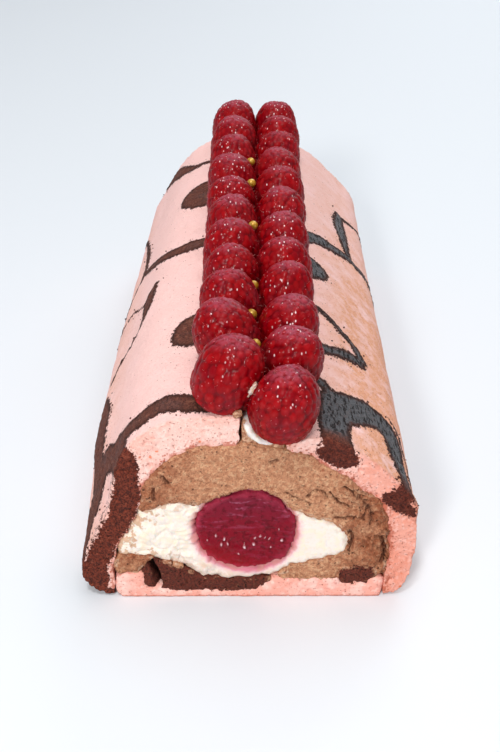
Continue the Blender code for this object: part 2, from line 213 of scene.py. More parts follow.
class YULE_PG_sponge(bpy.types.PropertyGroup):
    """Sizes and colours of the sponge."""

    grid: length_property("Grid", "Size of the small faces that the sponge is worked in", 1.0)
    crumb: length_property("Crumb", "How far the crumb of the cut stands in and out", 0.5)
    relief: length_property("Print relief", "How far the printed batter stands proud", 0.14)
    crumbs: count_property("Crumbs", "Loose crumbs of chocolate sponge on each half", 90, 0, 400)
    pink: colour_property("Pink", "Skin of the pink sponge", 253, 207, 201)
    # The peach is partly painted warm light, reflected onto the skin's right side.
    peach_and_bounce: colour_property("Peach and bounce light", "Warmer tone of the skin on its right side, partly painted warm reflected light", 236, 168, 134)
    cut_pink: colour_property("Cut pink", "Crumb of the pink sponge", 248, 200, 188)
    crust: colour_property("Crust", "Thin brown line where the sponge was baked", 184, 92, 66)
    chocolate: colour_property("Chocolate print", "Skin of the printed chocolate batter", 106, 58, 46)
    # The grey is a painted sheen on the print's smooth skin, as if it reflected the bright sky.
    sheen_grey: colour_property("Painted sheen on print", "Grey painted sheen on the chocolate print where its skin is smooth", 78, 78, 82)
    cut_chocolate: colour_property("Cut chocolate", "Crumb of the chocolate batter", 118, 50, 34)


class YULE_PG_filling(bpy.types.PropertyGroup):
    """Sizes and colours of the mousse, cream and jelly."""

    grid: length_property("Grid", "Size of the small faces that the fillings are worked in", 1.2)
    swell: length_property("Swell", "How far a filling presses against its neighbours", 0.36)
    mousse: colour_property("Mousse", "Chocolate mousse", 202, 142, 106)
    dark_mousse: colour_property("Dark mousse", "Drier mousse towards the sides", 160, 90, 57)
    cream: colour_property("Cream", "Vanilla cream", 237, 226, 216)
    stain: colour_property("Stain", "Cream stained by the jelly", 232, 172, 186)
    jelly: colour_property("Jelly", "Raspberry jelly", 124, 10, 30)
    pale_jelly: colour_property("Pale jelly", "Paler top of the jelly", 114, 26, 48)
    cocoa: colour_property("Cocoa", "Crumb of the cocoa sponge", 106, 46, 34)


class YULE_PG_fruit(bpy.types.PropertyGroup):
    """Sizes and colours of the raspberries and pearls."""

    drupelets: count_property("Drupelets", "Drupelets over a whole raspberry", 230, 40, 400)
    relief: length_property("Drupelet relief", "How far a drupelet bulges", 0.52)
    bluntness: number_property("Bluntness", "2 is a ball, more is squarer", 2.35, 2.0, 4.0)
    hairs: count_property("Hairs", "Fine hairs on a raspberry", 60, 0, 300)
    hair_length: length_property("Hair length", "Length of a hair", 1.3)
    red: colour_property("Red", "Crest of a ripe drupelet", 140, 2, 9)
    # The darker red is painted as shade in the valleys between drupelets.
    shaded_valley_red: colour_property("Shaded valley red", "Darker red painted as shade in the valleys between drupelets", 106, 0, 8)
    # The bloom colour also stands in for a painted sheen on the raspberries' tops.
    bloom_and_sheen: colour_property("Bloom and sheen", "Dull bloom on the skin", 178, 92, 112)
    gold: colour_property("Gold", "Pearly gold of the sugar pearls", 196, 144, 30)


class YULE_PG_stage(bpy.types.PropertyGroup):
    """Floor, lights and camera."""

    floor: colour_property("Floor", "Plain pale floor", 227, 231, 236)
    key: number_property("Key light", "Power of the soft light at the front left", 6.0)
    lamp: number_property("Lamp", "Power of the small light high in front", 4.0)
    overhead: number_property("Overhead light", "Power of the broad light above", 4.6)
    sky: number_property("Sky", "Strength of the even light all round", 0.42)
    back: number_property("Back light", "Power of the soft light behind the log", 3.0)
    lens: number_property("Lens", "Focal length on a sensor 36 mm long", 53.6, 20.0, 200.0)


def shader_sum(operation, swapped=False):
    """A method of a wire that adds a Math node, with the wire as its first or second value."""

    def add_node(wire, other):
        values = (other, wire) if swapped else (wire, other)
        return wire.finish.add("ShaderNodeMath", {"operation": operation}, dict(enumerate(values)))

    return add_node


class Wire:
    """An output of a shader node. Sums on it add Math nodes."""

    __add__ = shader_sum("ADD")
    __radd__ = shader_sum("ADD", True)
    __sub__ = shader_sum("SUBTRACT")
    __rsub__ = shader_sum("SUBTRACT", True)
    __mul__ = shader_sum("MULTIPLY")
    __truediv__ = shader_sum("DIVIDE")
    lower_of = shader_sum("MINIMUM")
    higher_of = shader_sum("MAXIMUM")

    def __init__(self, finish, socket):
        self.finish = finish
        self.socket = socket

    def __neg__(self):
        return self * -1.0

    def rising(self, low, high):
        """0 below low, 1 above high, smooth between."""
        inputs = {"Value": self, "From Min": low, "From Max": high}
        return self.finish.add("ShaderNodeMapRange", {"interpolation_type": "SMOOTHSTEP"}, inputs)

    def falling(self, low, high):
        return 1 - self.rising(low, high)


class Finish:
    """A material on one Principled shader, with short names for the nodes that feed it."""

    def __init__(self, name, roughness, specular=0.5, **constants):
        self.material = bpy.data.materials.new(name)
        self.material.use_nodes = True
        self.tree = self.material.node_tree
        self.shader = self.tree.nodes["Principled BSDF"]
        self.shader.inputs["Specular IOR Level"].default_value = specular
        self.coords = self.add("ShaderNodeTexCoord", output="Object")
        self.give(roughness=roughness, **constants)

    def join(self, value, socket):
        if isinstance(value, Wire):
            self.tree.links.new(value.socket, socket)
        else:
            socket.default_value = (*value, 1.0) if socket.type == "RGBA" else value

    def add(self, kind, settings=None, inputs=None, output=0):
        """Any node: its settings first, then its inputs. Gives the output asked for."""
        node = self.tree.nodes.new(kind)
        for name, value in (settings or {}).items():
            setattr(node, name, value)
        for name, value in (inputs or {}).items():
            self.join(value, node.inputs[name])
        return Wire(self, node.outputs[output])

    def axes(self):
        """x, y and z of the section, in metres, with y from the first cut."""
        inputs = {0: self.coords, 1: SECTION_ORIGIN}
        moved = self.add("ShaderNodeVectorMath", {"operation": "SUBTRACT"}, inputs)
        parts = self.add("ShaderNodeSeparateXYZ", inputs={0: moved}).socket.node
        return [Wire(self, output) for output in parts.outputs]

    def from_jelly(self, x, z, height, half_height):
        """Distance from the jelly's middle, squared, in shares of its own size; these are in mm."""
        across = (x + 4.3 * MM) / (14.2 * MM)
        up = (z - height * MM) / (half_height * MM)
        return across * across + up * up

    def stretched(self, *scale):
        return self.add("ShaderNodeMapping", inputs={"Vector": self.coords, "Scale": scale})

    def grain(self, millimetres, detail=3.0, roughness=0.55, where=None):
        """Noise from 0 to 1 whose lumps are about this size."""
        inputs = {"Vector": where or self.coords, "Scale": 1 / (millimetres * MM)}
        inputs |= {"Detail": detail, "Roughness": roughness}
        return self.add("ShaderNodeTexNoise", {"normalize": True}, inputs)

    def grains(self, *kinds):
        """Several grains, each given by its size, detail and roughness."""
        return [self.grain(*kind) for kind in kinds]

    def dots(self, millimetres, inner, outer, where=None, randomness=1.0):
        """Scattered dots in cells of this size, whose edges fade between these shares of a cell."""
        inputs = {"Vector": where or self.coords, "Scale": 1 / (millimetres * MM), "Randomness": randomness}
        return self.add("ShaderNodeTexVoronoi", inputs=inputs, output="Distance").falling(inner, outer)

    def attribute(self, name):
        return self.add("ShaderNodeAttribute", {"attribute_name": name}, output="Fac")

    def blend(self, share, one, other):
        """One colour, turning into the other as the share rises to 1."""
        inputs = {0: share, 6: one, 7: other}
        return self.add("ShaderNodeMix", {"data_type": "RGBA"}, inputs, output=2)

    def layers(self, colour, *coats):
        """The colour under coats, each the share that it covers and its colour, or 0 to 255 values."""
        for share, *paint in coats:
            colour = self.blend(share, colour, srgb(*paint) if len(paint) == 3 else paint[0])
        return colour

    def bump(self, height, millimetres, strength):
        inputs = {"Height": height, "Distance": millimetres * MM, "Strength": strength}
        return self.add("ShaderNodeBump", inputs=inputs)

    def give(self, **sockets):
        for name, value in sockets.items():
            self.join(value, self.shader.inputs[name.replace("_", " ").title()])
        return self.material


def only(piece):
    """Selects this piece and nothing else."""
    for other in bpy.context.selected_objects:
        other.select_set(False)
    piece.select_set(True)
    bpy.context.view_layer.objects.active = piece


def ball(splits, radius=1.0, place=(0, 0, 0)):
    """A new ball of even triangles."""
    bpy.ops.mesh.primitive_ico_sphere_add(subdivisions=splits, radius=radius, location=place)
    return bpy.context.object


def points_of(piece):
    flat = np.empty(len(piece.data.vertices) * 3)
    piece.data.vertices.foreach_get("co", flat)
    return flat.reshape(-1, 3)


def set_points(piece, points):
    piece.data.vertices.foreach_set("co", points.ravel())
    piece.data.update()


def section(points):
    """Points in the section's own x, y and z, in mm."""
    return (points - np.array(SECTION_ORIGIN)) / MM


def eased(values, low, high):
    t = np.clip((values - low) / (high - low), 0.0, 1.0)
    return t * t * (3 - 2 * t)


def from_ends(points):
    """How far each point lies from the nearer cut end, in metres."""
    return np.minimum(points[:, 1] - FRONT_Y, BACK_Y - points[:, 1])


def near_cuts(points, low=0.3, high=1.6):
    """1 at both cut ends, falling to 0 between these depths in mm."""
    return 1 - eased(from_ends(points), low * MM, high * MM)


def set_attributes(piece, **values):
    for name, numbers in values.items():
        made = piece.data.attributes.new(name, "FLOAT", "POINT")
        made.data.foreach_set("value", np.asarray(numbers, np.float32))


def set_group(piece, name, weights):
    """A vertex group with these weights, in even steps."""
    group = piece.vertex_groups.new(name=name)
    steps = np.round(weights * WEIGHT_STEPS).astype(int)
    for step in np.unique(steps[steps > 0]):
        group.add(np.flatnonzero(steps == step).tolist(), float(step) / WEIGHT_STEPS, "REPLACE")
    return name


def apply_modifier(piece, kind, weights=None, **settings):
    """Applies a modifier all over the piece, or by these weights."""
    only(piece)
    if weights is not None:
        settings["vertex_group"] = set_group(piece, "weights", weights)
    modifier = piece.modifiers.new(kind.title(), kind)
    for name, value in settings.items():
        setattr(modifier, name, value)
    bpy.ops.object.modifier_apply(modifier=modifier.name)
    piece.vertex_groups.clear()


def fine_copy(node, name, grid, cuts=2):
    """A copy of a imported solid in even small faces, finer at its cut ends and with smooth walls."""
    piece = bpy.data.objects.new(name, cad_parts[node].data.copy())
    bpy.context.scene.collection.objects.link(piece)
    only(piece)
    bpy.ops.object.mode_set(mode="EDIT")
    bpy.ops.mesh.select_all(action="SELECT")
    bpy.ops.mesh.remove_doubles(threshold=0.01 * MM)
    bpy.ops.object.mode_set(mode="OBJECT")
    apply_modifier(piece, "REMESH", mode="VOXEL", voxel_size=grid)
    walls = eased(from_ends(points_of(piece)), 1.0 * MM, 3.0 * MM)
    apply_modifier(piece, "SMOOTH", walls, factor=0.5, iterations=10)
    points = points_of(piece)
    y = points[:, 1]
    y[:] = np.where(y < FRONT_Y + 0.6 * grid, np.minimum(y, FRONT_Y), y)
    y[:] = np.where(y > BACK_Y - 0.6 * grid, np.maximum(y, BACK_Y), y)
    set_points(piece, points)
    split_ends(piece, cuts)
    only(piece)
    bpy.ops.object.shade_smooth()
    return piece


def split_ends(piece, cuts):
    """Divides the faces of both cut ends."""
    mesh = piece.data
    centres = np.empty(len(mesh.polygons) * 3)
    mesh.polygons.foreach_get("center", centres)
    only(piece)
    bpy.ops.object.mode_set(mode="EDIT")
    bpy.ops.mesh.select_mode(type="FACE")
    bpy.ops.object.mode_set(mode="OBJECT")
    mesh.polygons.foreach_set("select", from_ends(centres.reshape(-1, 3)) < 0.9 * MM)
    bpy.ops.object.mode_set(mode="EDIT")
    bpy.ops.mesh.subdivide(number_cuts=cuts)
    bpy.ops.object.mode_set(mode="OBJECT")


def roughen(piece, size, depth, weights=None, levels=2):
    """Moves the surface in and out by soft noise of this size and depth, in mm."""
    texture = bpy.data.textures.new("rough", "CLOUDS")
    texture.noise_scale = size * MM
    texture.noise_depth = levels
    settings = {"texture": texture, "texture_coords": "LOCAL", "mid_level": 0.5}
    apply_modifier(piece, "DISPLACE", weights, strength=depth * MM, **settings)
    bpy.data.textures.remove(texture)


def swell(piece, depth, weights=None):
    """Presses the piece outwards, all over or by these weights."""
    apply_modifier(piece, "DISPLACE", weights, strength=depth, mid_level=0.0)


def meet_neighbours(piece, depth):
    """Presses the walls outwards near the cuts, so that the layers touch there."""
    points = points_of(piece)
    swell(piece, depth, near_cuts(points, 2, 7))
    pressed = points_of(piece)
    pressed[:, 1] = points[:, 1]
    set_points(piece, pressed)


def pressed_copy(node, name, grid, depth, meets):
    """A fine copy of a layer, pressed against its neighbours, and more so near the cuts."""
    piece = fine_copy(node, name, grid)
    swell(piece, depth)
    meet_neighbours(piece, meets)
    return piece


def ruffle_ends(piece, share=1.0):
    """Makes the layers' borders uneven near the cuts, by one noise that neighbours share."""
    points = points_of(piece)
    near = near_cuts(points, 3, 11) * share
    lift = eased(points[:, 2], 0.5 * MM, 5 * MM)
    for i in np.flatnonzero(near > 0):
        place = Vector(points[i])
        coarse = noise.noise_vector(place / (5.0 * MM)) * 1.0 * MM
        fine = noise.noise_vector(place / (1.7 * MM)) * 0.4 * MM
        points[i, 0] += near[i] * (coarse.x + fine.x) * lift[i]
        points[i, 2] += near[i] * (coarse.z + fine.z) * lift[i]
    points[:, 2] = np.maximum(points[:, 2], 0.0)
    set_points(piece, points)


def dig(piece, depths):
    """Moves the points of both cut ends into the log by these depths."""
    points = points_of(piece)
    inward = np.where(points[:, 1] < (FRONT_Y + BACK_Y) / 2, 1.0, -1.0)
    points[:, 1] += inward * depths
    set_points(piece, points)


def pits(piece, size, share, depth, seed, spread=1.0):
    """Round holes of about this size, in mm, in a share of the cells of the cut ends."""
    points = points_of(piece)
    depths = np.zeros(len(points))
    for i in np.flatnonzero(from_ends(points) < 1.4 * MM):
        place = Vector(points[i]) / (size * MM) + Vector((seed, seed, seed))
        distances, middles = noise.voronoi(place)
        if (noise.cell(middles[0] * 3.7) + 1) / 2 < share:
            depths[i] = max(0.0, 1 - (distances[0] / 0.42) ** 2)
    dig(piece, depths * spread * depth * MM)


def clefts(piece, size, depth, spread):
    """Crumbly creases between lumps of about this size, in mm, on the cut ends."""
    points = points_of(piece)
    depths = np.zeros(len(points))
    for i in np.flatnonzero((from_ends(points) < 1.6 * MM) & (spread > 0.02)):
        place = Vector(points[i]) / (size * MM)
        bent = place + noise.noise_vector(place * 1.7) * 0.35
        near, after = noise.voronoi(bent)[0][:2]
        depths[i] = max(0.0, 1 - (after - near) / 0.22) * (0.5 + 0.5 * noise.noise(place * 0.8))
    dig(piece, np.maximum(depths * spread, 0.0) * depth * MM)


def wall_tree(node, kept=lambda face: True):
    """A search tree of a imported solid's long walls, or of those that are kept."""
    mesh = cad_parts[node].data
    corners, faces = [], []
    for face in mesh.polygons:
        if abs(face.normal.y) < WALL_LIMIT and kept(face):
            faces.append(list(range(len(corners), len(corners) + len(face.vertices))))
            corners += [mesh.vertices[i].co for i in face.vertices]
    return BVHTree.FromPolygons(corners, faces)


def facing_out(face):
    """How far a face looks away from the axis that the print's angles are counted from."""
    away = Vector((face.center.x - SECTION_X - ROUND_X, 0.0, face.center.z - ROUND_Z))
    return face.normal.dot(away.normalized())


def depth_under(tree, points):
    """How far each point lies from the walls of the tree, in mm."""
    return np.array([tree.find_nearest(Vector(p))[3] or 0.0 for p in points]) / MM


def rim_distance(node, points):
    """How far each point near a cut lies inside the section's outline, in mm."""
    near = from_ends(points) < 3 * MM
    found = np.full(len(points), FAR_OFF)
    found[near] = depth_under(wall_tree(node), points[near])
    return found


def curve_through(run, steps=6):
    """More points along a run, on a smooth curve through its own."""
    knots = [np.array(knot, float) for knot in run]
    ends = [2 * knots[0] - knots[1], *knots, 2 * knots[-1] - knots[-2]]
    made = []
    for a, b, c, d in zip(ends, ends[1:], ends[2:], ends[3:]):
        for i in range(steps):
            t = i / steps
            bend = (2 * a - 5 * b + 4 * c - d) * t**2 + (3 * b - a - 3 * c + d) * t**3
            made.append(0.5 * (2 * b + (c - a) * t + bend))
    return made + [knots[-1]]


def run_distance(across, up, run):
    """Signed distance from each point to a run of (across, up, half-width), rounded between its points."""
    made = curve_through(run)
    best = np.full(len(across), np.inf)
    for start, end in zip(made, made[1:]):
        along = end[:2] - start[:2]
        length = max(float(along @ along), 1e-9)
        t = np.clip(((across - start[0]) * along[0] + (up - start[1]) * along[1]) / length, 0.0, 1.0)
        gap = np.hypot(across - start[0] - t * along[0], up - start[1] - t * along[1])
        best = np.minimum(best, gap - (start[2] + t * (end[2] - start[2])))
    return best


def crack(piece, cracks):
    """Opens cracks in the first cut."""
    x, y, z = section(points_of(piece)).T
    front = y < 1.6
    depths = np.zeros(len(x))
    nearest = np.full(len(x), FAR_OFF)
    for run, half_width, depth in cracks:
        gap = run_distance(x, z, [(*knot, half_width) for knot in run])
        depths = np.maximum(depths, depth * (1 - eased(gap, -half_width, half_width)) * front)
        nearest = np.where(front, np.minimum(nearest, gap), nearest)
    dig(piece, depths * MM)
    set_attributes(piece, crack=nearest)


def dress(piece, material, slot, *nodes):
    """Gives the finished piece its material and its place in the frame."""
    piece.data.materials.clear()
    piece.data.materials.append(material)
    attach(piece, "root")
    if nodes:
        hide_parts(*nodes)


def printed_batter(place, skin, crust):
    """Signed distance to the printed batter in mm, below 0 inside it."""
    x, y, z = place.T
    around = np.arctan2(x - ROUND_X / MM, z - ROUND_Z / MM) * ROUND_RADIUS
    surface = np.full(len(place), np.inf)
    for run in SCROLLS:
        turned = [(math.radians(angle) * ROUND_RADIUS, along, width) for angle, along, width in run]
        surface = np.minimum(surface, run_distance(around, y, turned))
    inside = np.maximum(surface, skin - SCROLL_DEPTH)
    under_skin = np.maximum(0.3 - skin, 0.35 - crust)
    for runs, from_cut in ((CUT_SCROLLS, y), (CUT_SCROLLS_BACK, LENGTH / MM - y)):
        for run in runs:
            filled = np.maximum(run_distance(x, z, run), from_cut - CUT_SCROLL_REACH)
            inside = np.minimum(inside, np.maximum(filled, under_skin))
    return inside


def jacket(node, name, settings, material):
    """One half of the printed jacket."""
    piece = fine_copy(node, name, settings.grid)
    points = points_of(piece)
    place = section(points)
    skin = depth_under(wall_tree(node, lambda face: facing_out(face) > 0.15), points)
    crust = depth_under(wall_tree(node, lambda face: facing_out(face) < -0.15), points)
    printed = printed_batter(place, skin, crust)
    on_cut = near_cuts(points, 0.3, 1.3)
    set_attributes(piece, printed=printed, skin=skin, crust=crust, cut=on_cut)
    swell(piece, settings.relief, (1 - eased(printed, -0.8, 0.3)) * (skin < 0.6) * (1 - on_cut))
    middle_x, middle_z, spread = BATTER_LUMP
    lump = np.exp(-((place[:, 0] - middle_x) ** 2 + (place[:, 2] - middle_z) ** 2) / spread)
    swell(piece, 0.9 * MM, lump * (1 - eased(place[:, 1], 2, 6)) * (skin < 1.5))
    outside = eased(3.0 - skin, 0.0, 2.0) * eased(points[:, 2], 1.5 * MM, 6 * MM)
    roughen(piece, 14.0, 0.9, outside)
    roughen(piece, 3.2, 0.25, outside)
    roughen(piece, 1.7, 0.75, outside * (1 - eased(printed, -0.2, 0.9)))
    on_cut = near_cuts(points_of(piece))
    roughen(piece, 2.2, settings.crumb / MM, on_cut, 3)
    roughen(piece, 1.1, 0.7, on_cut * (1 - eased(printed, -0.2, 0.6)))
    pits(piece, 1.5, 0.3, 0.55, 4.1)
    pits(piece, 2.6, 0.12, 0.8, 9.3)
    ruffle_ends(piece, 0.35 + 0.65 * eased(skin, 0.0, 2.5))
    dress(piece, material, "pink_sponge", node)
    scatter_crumbs(piece, name + "_crumbs", (skin < 0.3) & (printed > 0.2) & (printed < 2.6), settings)


def scatter_crumbs(piece, name, places, settings):
    """Small chocolate crumbs pressed into the skin beside the print, as one piece."""
    draw = random.Random(name)
    spots = np.flatnonzero(places & (points_of(piece)[:, 2] > 6 * MM)).tolist()
    made = []
    for spot in draw.sample(spots, min(settings.crumbs, len(spots))):
        vertex = piece.data.vertices[spot]
        radius = draw.uniform(0.18, 0.5) ** 1.3 * MM
        crumb = ball(1, radius, vertex.co + vertex.normal * radius * 0.3)
        crumb.scale = (draw.uniform(0.7, 1.3), draw.uniform(0.7, 1.4), draw.uniform(0.6, 1.1))
        crumb.rotation_euler = [draw.uniform(0, math.tau) for _ in range(3)]
        made.append(crumb)
    for crumb in made:
        crumb.select_set(True)
    bpy.context.view_layer.objects.active = made[0]
    bpy.ops.object.transform_apply(location=True, rotation=True, scale=True)
    bpy.ops.object.join()
    made[0].name = name
    roughen(made[0], 0.5, 0.25)
    material = bpy.data.materials.get("chocolate crumb") or chocolate_crumb()
    dress(made[0], material, "cocoa_sponge")


class YULE_OT_jacket(bpy.types.Operator):
    """Models both halves of the printed sponge jacket."""

    bl_idname = "yule.jacket"
    bl_label = "Printed Jacket"

    def execute(self, context):
        settings = context.scene.yule_sponge
        material = printed_sponge(settings)
        for side in ("left", "right"):
            jacket("sponge_jacket_" + side, "printed_jacket_" + side, settings, material)
        return {"FINISHED"}


class YULE_OT_base(bpy.types.Operator):
    """Models the sponge base and the cocoa sponge laid on it."""

    bl_idname = "yule.base"
    bl_label = "Sponge Base"

    def execute(self, context):
        sponge = context.scene.yule_sponge
        filling = context.scene.yule_filling
        base = pressed_copy("sponge_base", "plain_sponge_base", sponge.grid, 0.55 * MM, 0.4 * MM)
        roughen(base, 2.2, sponge.crumb / MM, near_cuts(points_of(base)), 3)
        pits(base, 1.5, 0.3, 0.5, 2.2)
        ruffle_ends(base)
        dress(base, plain_sponge(sponge), "pink_sponge", "sponge_base")

        material = cocoa_sponge(filling)
        for node, name in (("cocoa_sponge_strip", "cocoa_layer"), ("cocoa_sponge_bit", "cocoa_end")):
            piece = pressed_copy(node, name, sponge.grid, filling.swell, 0.4 * MM)
            roughen(piece, 1.6, 1.2, near_cuts(points_of(piece)), 3)
            pits(piece, 1.4, 0.4, 0.7, 6.6)
            set_attributes(piece, rim=rim_distance(node, points_of(piece)))
            crack(piece, COCOA_CRACKS)
            ruffle_ends(piece)
            dress(piece, material, "cocoa_sponge", node)
        return {"FINISHED"}


class YULE_OT_mousse(bpy.types.Operator):
    """Models the chocolate mousse and its foot at the left."""

    bl_idname = "yule.mousse"
    bl_label = "Chocolate Mousse"

    def execute(self, context):
        settings = context.scene.yule_filling
        material = chocolate_mousse(settings)
        for node, name in (("chocolate_mousse", "mousse_arch"), ("chocolate_mousse_foot", "mousse_foot")):
            piece = pressed_copy(node, name, settings.grid, settings.swell, 0.5 * MM)
            points = points_of(piece)
            side = section(points)[:, 0]
            dry = eased(side, 16, 30) + 0.5 * eased(-side, 24, 30)
            on_cut = near_cuts(points)
            set_attributes(piece, rim=rim_distance(node, points))
            roughen(piece, 4.0, 2.2, on_cut * (0.2 + 0.8 * np.clip(dry, 0, 1)), 3)
            roughen(piece, 1.3, 0.9, on_cut)
            roughen(piece, 0.8, 0.5, on_cut, 1)
            pits(piece, 2.0, 0.14, 0.8, 1.7, 0.4 + dry)
            pits(piece, 1.1, 0.2, 0.5, 3.3)
            clefts(piece, 3.2, 1.6, np.clip(dry, 0, 1))
            crack(piece, MOUSSE_CRACKS)
            ruffle_ends(piece)
            dress(piece, material, "chocolate_mousse", node)
        return {"FINISHED"}


def loose_bit(name, place, radii, lean, smear, material, slot):
    """A small bit beside the first raspberries: section x, y, z and radii in mm, and its lean."""
    bit = ball(4)
    bit.name = name
    points = points_of(bit) * np.array(radii) * MM
    points[:, 0] += points[:, 2] * lean
    set_points(bit, points + (np.array(SECTION_ORIGIN) + np.array(place) * MM))
    roughen(bit, 0.9, 1.3)
    roughen(bit, 0.4, 0.5)
    set_attributes(bit, smear=np.full(len(points), smear))
    bpy.ops.object.shade_smooth()
    dress(bit, material, slot)


class YULE_OT_cream(bpy.types.Operator):
    """Models the vanilla cream round the jelly and the cream in the seam."""

    bl_idname = "yule.cream"
    bl_label = "Vanilla Cream"

    def execute(self, context):
        settings = context.scene.yule_filling
        insert = pressed_copy("vanilla_cream", "cream_insert", settings.grid, settings.swell, 0.3 * MM)
        points = points_of(insert)
        set_attributes(insert, rim=rim_distance("vanilla_cream", points))
        curd = eased(-section(points)[:, 0], 8, 16)
        lumpy = near_cuts(points, 0.8, 2.4) * (0.3 + 0.7 * curd)
        roughen(insert, 5.0, 2.0, lumpy)
        roughen(insert, 2.0, 0.5, lumpy, 1)
        clefts(insert, 5.0, 0.8, curd)
        ruffle_ends(insert)
        dress(insert, vanilla_cream(settings, True), "vanilla_cream", "vanilla_cream")

        seam = fine_copy("seam_cream", "cream_in_seam", 0.7 * MM)
        points = points_of(seam)
        x, _, z = section(points).T
        smear = run_distance(x, z, CREAM_SMEAR)
        set_attributes(seam, smear=smear)
        dig(seam, 1.9 * MM * eased(smear, -0.4, 1.2) * near_cuts(points, 0.5, 3))
        swell(seam, settings.swell)
        roughen(seam, 3.0, 0.7)
        roughen(seam, 1.2, 0.35)
        # The seam cream's material, greyed by painted shade, also serves the loose bits.
        shaded_seam_cream = vanilla_cream(settings, False)
        dress(seam, shaded_seam_cream, "vanilla_cream", "seam_cream")
        loose_bit("cream_crumb", (-2.5, 1.2, 71.1), (0.75, 1.2, 2.1), 0.5, 0.3, shaded_seam_cream, "vanilla_cream")
        loose_bit("mousse_crumb", (-6.4, 1.0, 63.6), (1.3, 1.2, 1.2), 0.0, 2.0, shaded_seam_cream, "chocolate_mousse")
        return {"FINISHED"}


class YULE_OT_jelly(bpy.types.Operator):
    """Models the raspberry jelly, with highlights painted on its wet beads."""

    bl_idname = "yule.jelly"
    bl_label = "Raspberry Jelly"

    def execute(self, context):
        settings = context.scene.yule_filling
        piece = fine_copy("raspberry_jelly", "jelly_core", 1.0 * MM, 3)
        swell(piece, settings.swell * 0.6)
        points = points_of(piece)
        on_cut = 1 - eased(from_ends(points) + 0.7 * MM, 0.3 * MM, 1.6 * MM)
        roughen(piece, 4.0, 1.1, on_cut)
        roughen(piece, 1.4, 0.4, on_cut, 1)
        across, y, up = section(points).T
        beads, sparkle = np.zeros(len(points)), np.zeros(len(points))
        for x, z, radius in JELLY_BEADS:
            away = np.hypot(across - x, up - z) / radius
            beads = np.maximum(beads, 0.7 * radius * np.clip(1 - away**2, 0, 1))
            # Each bead gets a painted highlight: a small upright spot just above its middle.
            streak = np.hypot((across - x) * 1.5, up - z - 0.2) / radius
            sparkle = np.maximum(sparkle, (1 - eased(streak, 0.1, 0.6)) * min(1.0, radius))
        dig(piece, -beads * MM * on_cut)
        set_attributes(piece, sparkle=sparkle * on_cut * (y < 5))
        ruffle_ends(piece)
        dress(piece, raspberry_jelly(settings), "raspberry_jelly", "raspberry_jelly")
        return {"FINISHED"}


def spiral_directions(count):
    """Directions spread evenly over a sphere along a spiral."""
    turn = math.pi * (3 - math.sqrt(5))
    z = 1 - (2 * np.arange(count) + 1) / count
    r = np.sqrt(1 - z * z)
    around = np.arange(count) * turn
    return np.stack([r * np.cos(around), r * np.sin(around), z], axis=1)


def model_raspberry(name, settings, seed):
    """One raspberry of unit size, tip up: a blunt ball whose surface bulges at each drupelet."""
    berry = ball(6)
    berry.name = name
    draw = np.random.default_rng(seed)
    centres = spiral_directions(settings.drupelets)
    centres += draw.normal(0.0, 0.04, centres.shape)
    centres /= np.linalg.norm(centres, axis=1)[:, None]
    plump = draw.uniform(0.65, 1.2, len(centres))
    points = points_of(berry)
    reach = np.sqrt(4 / settings.drupelets)
    apart = np.linalg.norm(points[:, None, :] - centres[None, :, :], axis=2) / reach
    nearest = np.argmin(apart, axis=1)
    first, second = np.partition(apart, 1, axis=1)[:, :2].T
    dome = np.sqrt(np.clip(1 - (first / 1.25) ** 2, 0, 1))
    height = dome * (0.75 + 0.25 * np.clip((second - first) / 0.5, 0, 1)) + (plump[nearest] - 1) * 0.45
    power = settings.bluntness
    blunt = np.hypot(points[:, 0], points[:, 1]) ** power + np.abs(points[:, 2]) ** power
    uneven = np.array([noise.noise(Vector(p) * 1.1 + Vector((seed, 0, 0))) for p in points])
    points /= blunt[:, None] ** (1 / power)
    points *= (1 + 0.05 * uneven + (height - 0.9) * settings.relief / BERRY_RADIUS)[:, None]
    points[:, :2] *= (1 - 0.07 * points[:, 2])[:, None]
    under = np.clip((UNDERSIDE - points[:, 2]) / (1 + UNDERSIDE), 0, 1)
    turned_in = UNDERSIDE - UNDERSIDE_DEPTH * (1 - (1 - under) ** 1.6)
    points[:, 2] = np.where(under > 0, turned_in, points[:, 2])
    set_points(berry, points)
    set_attributes(
        berry,
        crest=height,
        tone=draw.uniform(0, 1, len(centres))[nearest],
        tip=np.clip(1.5 - first / 0.22, 0, 1) * draw.choice([0, 0.5, 1], len(centres))[nearest],
    )
    apply_modifier(berry, "DECIMATE", ratio=0.4)
    bpy.ops.object.shade_smooth()
    return berry


def add_hairs(berry, settings, seed):
    """Fine pale hairs, each a thin spike bent a little, on the upper half of a raspberry in place."""
    draw = random.Random(seed)
    high = [v for v in berry.data.vertices if v.normal.z > -0.15]
    points, faces = [], []
    for vertex in draw.sample(high, min(settings.hairs, len(high))):
        out = vertex.normal
        lean = Vector((draw.uniform(-1, 1), draw.uniform(-1, 1), draw.uniform(-0.4, 1)))
        side = out.cross(lean).normalized()
        other = out.cross(side)
        length = settings.hair_length * draw.uniform(0.4, 1.0)
        root = vertex.co - out * 0.1 * MM
        elbow = vertex.co + out * length * 0.45
        tip = elbow + (out + lean * 0.9).normalized() * length * 0.55
        first = len(points)
        for level, thickness in ((root, 0.035 * MM), (elbow, 0.028 * MM)):
            for turn in range(3):
                a = turn * math.tau / 3
                points.append(level + (side * math.cos(a) + other * math.sin(a)) * thickness)
        points.append(tip)
        faces.append((first + 2, first + 1, first))
        for turn in range(first, first + 3):
            after = first + (turn - first + 1) % 3
            faces.append((turn, after, after + 3, turn + 3))
            faces.append((turn + 3, after + 3, first + 6))
    hairs = bpy.data.meshes.new(berry.name + "_hairs")
    hairs.from_pydata(points, [], faces)
    tuft = bpy.data.objects.new(berry.name + "_hairs", hairs)
    bpy.context.scene.collection.objects.link(tuft)
    set_attributes(tuft, crest=np.full(len(points), 3.0), tone=np.full(len(points), 0.5))
    only(berry)
    tuft.select_set(True)
    bpy.ops.object.join()


